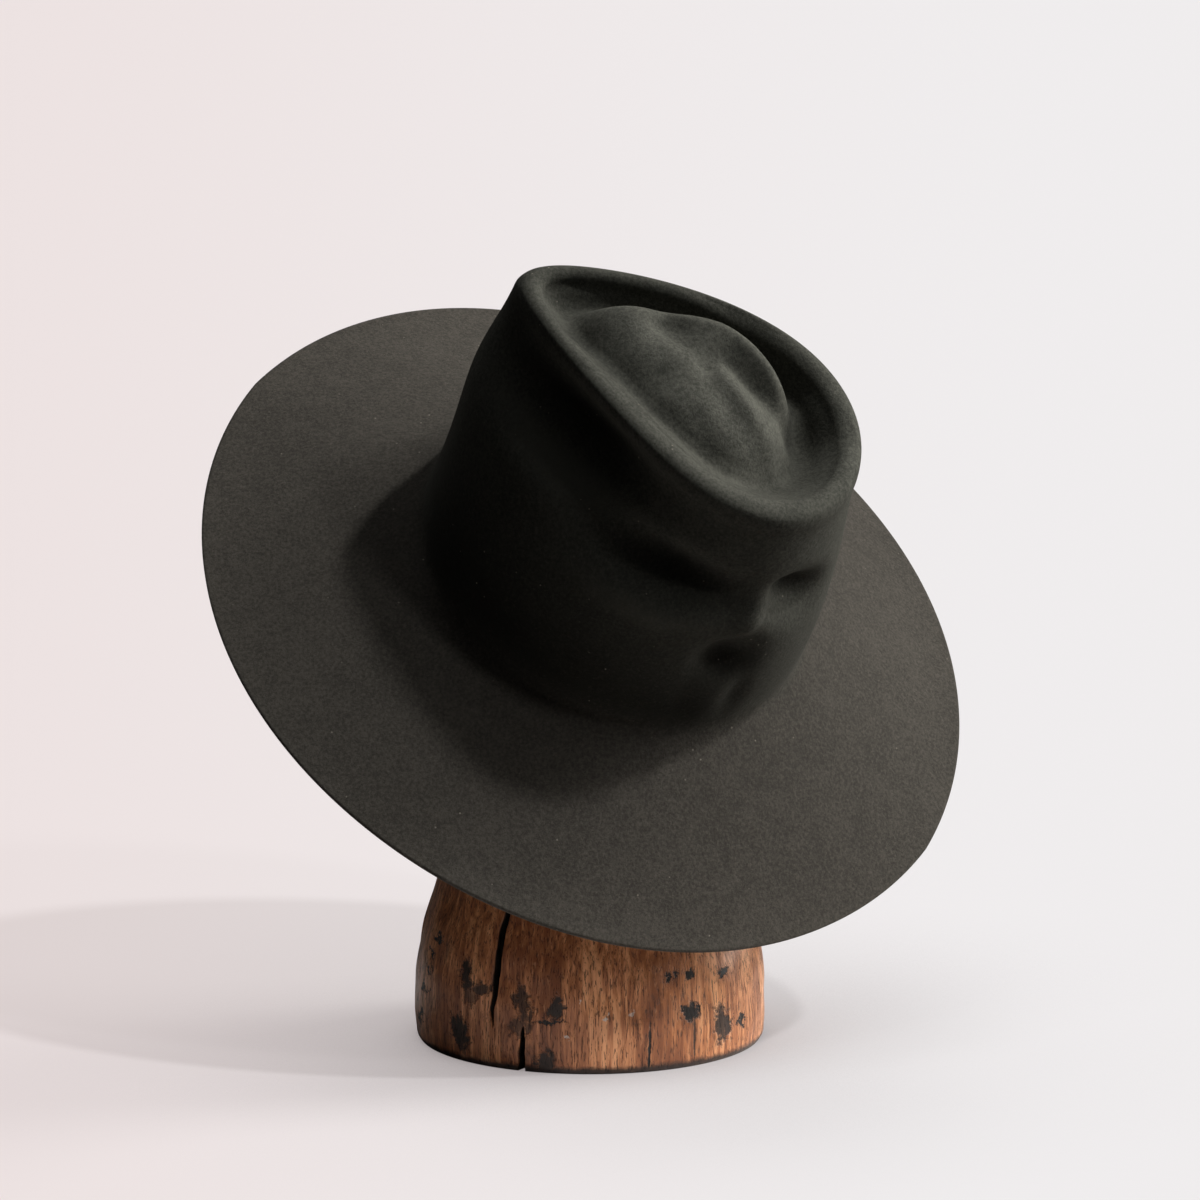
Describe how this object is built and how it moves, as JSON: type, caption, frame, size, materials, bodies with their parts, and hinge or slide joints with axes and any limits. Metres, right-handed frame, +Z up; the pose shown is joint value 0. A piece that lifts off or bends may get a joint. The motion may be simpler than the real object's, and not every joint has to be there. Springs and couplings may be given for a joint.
{
  "type": "fedora on a wooden hat block",
  "caption": "Wide-brim felt fedora with a teardrop crown, tipped forward on a tall tapered wooden hat block.",
  "frame": {"origin": "middle of the hat block's flat base", "axes": "+Z up, -Y to the front, where the hat tips down over the block, +X to the right seen from the front"},
  "size_m": [0.3801, 0.3038, 0.3891],
  "materials": {
    "felt": "matt fur felt, green-black",
    "block_wood": "old waxed oak, stained and cracked"
  },
  "bodies": {
    "root": {"hat_felt": "felt", "hat_block": "block_wood"}
  },
  "joints": []
}
